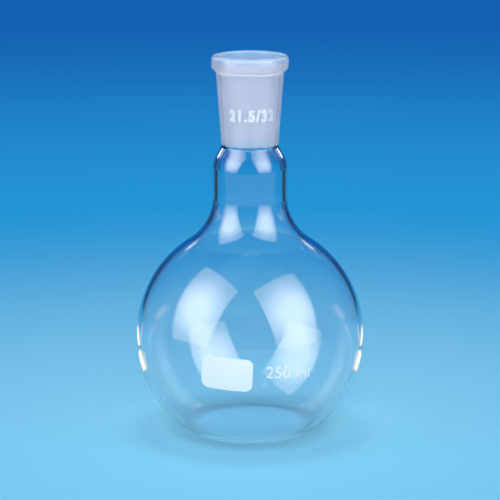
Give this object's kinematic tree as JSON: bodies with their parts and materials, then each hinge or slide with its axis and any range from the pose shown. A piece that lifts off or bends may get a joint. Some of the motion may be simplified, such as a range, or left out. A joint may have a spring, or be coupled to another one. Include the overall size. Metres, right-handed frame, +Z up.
{
  "type": "flat bottom flask",
  "caption": "Clear glass laboratory flask with a round bulb on a flat base, a short straight neck and a ground taper socket ending in a collar.",
  "frame": {"origin": "middle of the flat base's contact face", "axes": "+Z up along the neck; the glass is round about +Z, and the printed marks face -Y"},
  "size_m": [0.085, 0.085, 0.141],
  "materials": {
    "clear_glass": "clear and fire polished, with the bore of the joint ground matt",
    "white_enamel": "fired white enamel print"
  },
  "bodies": {
    "root": {"flask": "clear_glass"}
  },
  "joints": []
}
